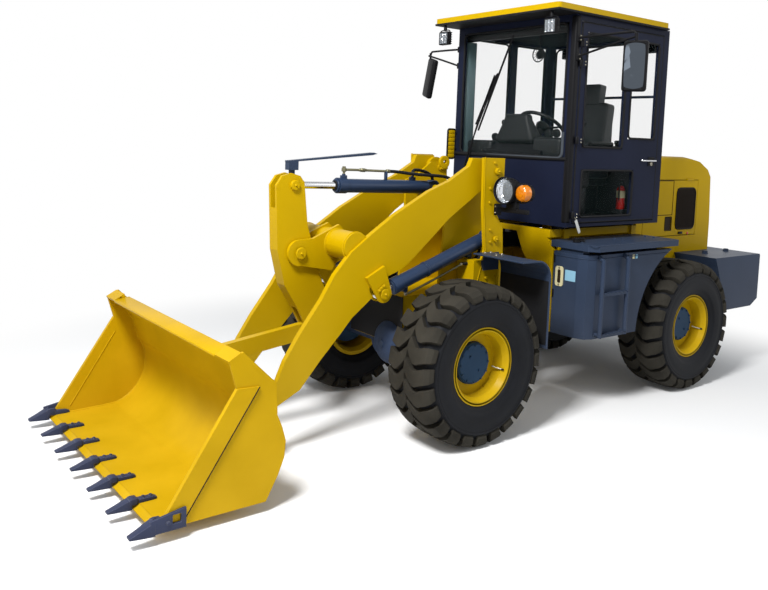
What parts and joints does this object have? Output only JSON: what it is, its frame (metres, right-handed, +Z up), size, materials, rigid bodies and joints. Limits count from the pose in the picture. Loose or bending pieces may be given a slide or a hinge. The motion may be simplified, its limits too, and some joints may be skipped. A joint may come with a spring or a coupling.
{
  "type": "articulated wheel loader",
  "caption": "Small articulated wheel loader with a boxed cab, Z-bar bucket linkage, lugged tyres, side tanks and a rear counterweight; it steers, lifts, dumps and rolls.",
  "frame": {"origin": "on the ground, under the middle of the loader's overall length and width", "axes": "+X towards the bucket, +Y to the driver's left, +Z up"},
  "size_m": [5.835, 2.3594, 2.958],
  "materials": {
    "yellow": "gloss",
    "slate": "satin",
    "hub_blue": "satin",
    "tyre": "matt",
    "rubber": "matt",
    "glass": "clear",
    "chrome": "polished",
    "steel": "machined",
    "black_plastic": "matt",
    "seat_fabric": "woven",
    "iron": "painted"
  },
  "bodies": {
    "rear_body": {"rear_frame": "yellow", "rear_axle": "iron", "cab_mounts": "rubber", "counterweight": "slate", "engine": "iron", "hood": "yellow", "rear_grille": "black_plastic", "cab": "slate", "cab_roof": "yellow", "cab_glass": "glass", "seat": "seat_fabric", "dashboard": "black_plastic", "steering_wheel": "black_plastic", "side_tank_left": "slate", "side_tank_right": "slate", "platform_left": "slate", "platform_right": "slate", "ladder_left": "slate", "ladder_right": "slate", "mirror_left": "black_plastic", "mirror_right": "black_plastic", "work_lamp_left": "black_plastic", "work_lamp_right": "black_plastic"},
    "front_body": {"front_frame": "yellow", "front_axle": "iron", "front_fender_left": "slate", "front_fender_right": "slate", "headlamp_left": "black_plastic", "headlamp_right": "black_plastic"},
    "wheel_front_left": {"tyre_front_left": "tyre", "rim_front_left": "yellow", "hub_front_left": "hub_blue"},
    "wheel_front_right": {"tyre_front_right": "tyre", "rim_front_right": "yellow", "hub_front_right": "hub_blue"},
    "wheel_rear_left": {"tyre_rear_left": "tyre", "rim_rear_left": "yellow", "hub_rear_left": "hub_blue"},
    "wheel_rear_right": {"tyre_rear_right": "tyre", "rim_rear_right": "yellow", "hub_rear_right": "hub_blue"},
    "boom_body": {"boom": "yellow"},
    "crank_pin_body": {"bell_crank_pin": "steel"},
    "crank_body": {"bell_crank": "yellow"},
    "bucket_pin_body": {"bucket_pins": "steel"},
    "bucket_body": {"bucket": "yellow", "bucket_teeth": "slate"},
    "link_pin_body": {"bucket_link_pin": "steel"},
    "link_body": {"bucket_link": "yellow"},
    "lift_barrel_left_body": {"lift_barrel_left": "slate"},
    "lift_barrel_right_body": {"lift_barrel_right": "slate"},
    "lift_rod_left_body": {"lift_rod_left": "chrome"},
    "lift_rod_right_body": {"lift_rod_right": "chrome"},
    "tilt_barrel_body": {"tilt_barrel": "slate"},
    "tilt_rod_body": {"tilt_rod": "chrome", "level_bar": "slate"},
    "cab_door_body": {"cab_door": "slate", "cab_door_glass": "glass"},
    "hood_door_left_body": {"hood_door_left": "yellow"},
    "hood_door_right_body": {"hood_door_right": "yellow"}
  },
  "joints": [
    {"name": "steering", "type": "hinge", "parent": "rear_body", "child": "front_body", "pos_m": [-0.5725, 0, 0.7], "axis": [0, 0, 1], "range_deg": [-35, 35]},
    {"name": "wheel_front_left_spin", "type": "hinge", "parent": "front_body", "child": "wheel_front_left", "pos_m": [0.606, 0.705, 0.53], "axis": [0, 1, 0], "continuous": true},
    {"name": "wheel_front_right_spin", "type": "hinge", "parent": "front_body", "child": "wheel_front_right", "pos_m": [0.606, -0.705, 0.53], "axis": [0, 1, 0], "continuous": true},
    {"name": "wheel_rear_left_spin", "type": "hinge", "parent": "rear_body", "child": "wheel_rear_left", "pos_m": [-1.751, 0.705, 0.53], "axis": [0, 1, 0], "continuous": true},
    {"name": "wheel_rear_right_spin", "type": "hinge", "parent": "rear_body", "child": "wheel_rear_right", "pos_m": [-1.751, -0.705, 0.53], "axis": [0, 1, 0], "continuous": true},
    {"name": "boom_lift", "type": "hinge", "parent": "front_body", "child": "boom_body", "pos_m": [0.0975, 0, 1.76], "axis": [0, -1, 0], "range_deg": [0, 70]},
    {"name": "bucket_pin_turn", "type": "hinge", "parent": "boom_body", "child": "bucket_pin_body", "pos_m": [1.8875, 0, 0.282], "axis": [0, -1, 0], "range_deg": [-63.5, 0.5]},
    {"name": "bucket_tilt", "type": "hinge", "parent": "bucket_pin_body", "child": "bucket_body", "pos_m": [1.8875, 0, 0.282], "axis": [0, -1, 0], "range_deg": [-45, 35]},
    {"name": "crank_pin_turn", "type": "hinge", "parent": "boom_body", "child": "crank_pin_body", "pos_m": [1.5175, 0, 1.21], "axis": [0, -1, 0], "range_deg": [-0.5, 34.24]},
    {"name": "crank_turn", "type": "hinge", "parent": "crank_pin_body", "child": "crank_body", "pos_m": [1.5175, 0, 1.21], "axis": [0, -1, 0], "range_deg": [-16.88, 21.56]},
    {"name": "link_pin_turn", "type": "hinge", "parent": "bucket_body", "child": "link_pin_body", "pos_m": [2.0475, 0, 0.6], "axis": [0, -1, 0], "range_deg": [-0.5, 35.29]},
    {"name": "link_turn", "type": "hinge", "parent": "link_pin_body", "child": "link_body", "pos_m": [2.0475, 0, 0.6], "axis": [0, -1, 0], "range_deg": [-19.12, 24.44]},
    {"name": "lift_barrel_left_turn", "type": "hinge", "parent": "front_body", "child": "lift_barrel_left_body", "pos_m": [0.0905, 0.31, 1.275], "axis": [0, -1, 0], "range_deg": [-0.5, 66.3]},
    {"name": "lift_rod_left_slide", "type": "slide", "parent": "lift_barrel_left_body", "child": "lift_rod_left_body", "axis": [0.9454, 0, -0.3258], "range_m": [-0.002, 0.564]},
    {"name": "lift_barrel_right_turn", "type": "hinge", "parent": "front_body", "child": "lift_barrel_right_body", "pos_m": [0.0905, -0.31, 1.275], "axis": [0, -1, 0], "range_deg": [-0.5, 66.3]},
    {"name": "lift_rod_right_slide", "type": "slide", "parent": "lift_barrel_right_body", "child": "lift_rod_right_body", "axis": [0.9454, 0, -0.3258], "range_m": [-0.002, 0.564]},
    {"name": "tilt_barrel_turn", "type": "hinge", "parent": "front_body", "child": "tilt_barrel_body", "pos_m": [0.3575, 0, 1.622], "axis": [0, -1, 0], "range_deg": [-0.5, 76.73]},
    {"name": "tilt_rod_slide", "type": "slide", "parent": "tilt_barrel_body", "child": "tilt_rod_body", "axis": [0.9998, 0, 0.0192], "range_m": [-0.151, 0.1179]},
    {"name": "cab_door_swing", "type": "hinge", "parent": "rear_body", "child": "cab_door_body", "pos_m": [-0.4605, 0.64, 2.1], "axis": [0, 0, -1], "range_deg": [0, 65]},
    {"name": "hood_door_left_swing", "type": "hinge", "parent": "rear_body", "child": "hood_door_left_body", "pos_m": [-2.0825, 0.404, 1.7], "axis": [1, 0, 0], "range_deg": [0, 80]},
    {"name": "hood_door_right_swing", "type": "hinge", "parent": "rear_body", "child": "hood_door_right_body", "pos_m": [-2.0825, -0.404, 1.7], "axis": [-1, 0, 0], "range_deg": [0, 80]}
  ],
  "couplings": [
    {"joint": "bucket_pin_turn", "follows": "boom_lift", "ratio": -0.9},
    {"joint": "crank_pin_turn", "follows": "boom_lift", "ratio": 0.482},
    {"joint": "crank_turn", "follows": "bucket_tilt", "ratio": -0.468},
    {"joint": "link_pin_turn", "follows": "boom_lift", "ratio": 0.497},
    {"joint": "link_turn", "follows": "bucket_tilt", "ratio": -0.532},
    {"joint": "lift_barrel_left_turn", "follows": "boom_lift", "ratio": 0.94},
    {"joint": "lift_rod_left_slide", "follows": "boom_lift", "m_per_rad": 0.46},
    {"joint": "lift_barrel_right_turn", "follows": "boom_lift", "ratio": 0.94},
    {"joint": "lift_rod_right_slide", "follows": "boom_lift", "m_per_rad": 0.46},
    {"joint": "tilt_barrel_turn", "follows": "boom_lift", "ratio": 1.089},
    {"joint": "tilt_rod_slide", "follows": "bucket_tilt", "m_per_rad": 0.1897}
  ]
}
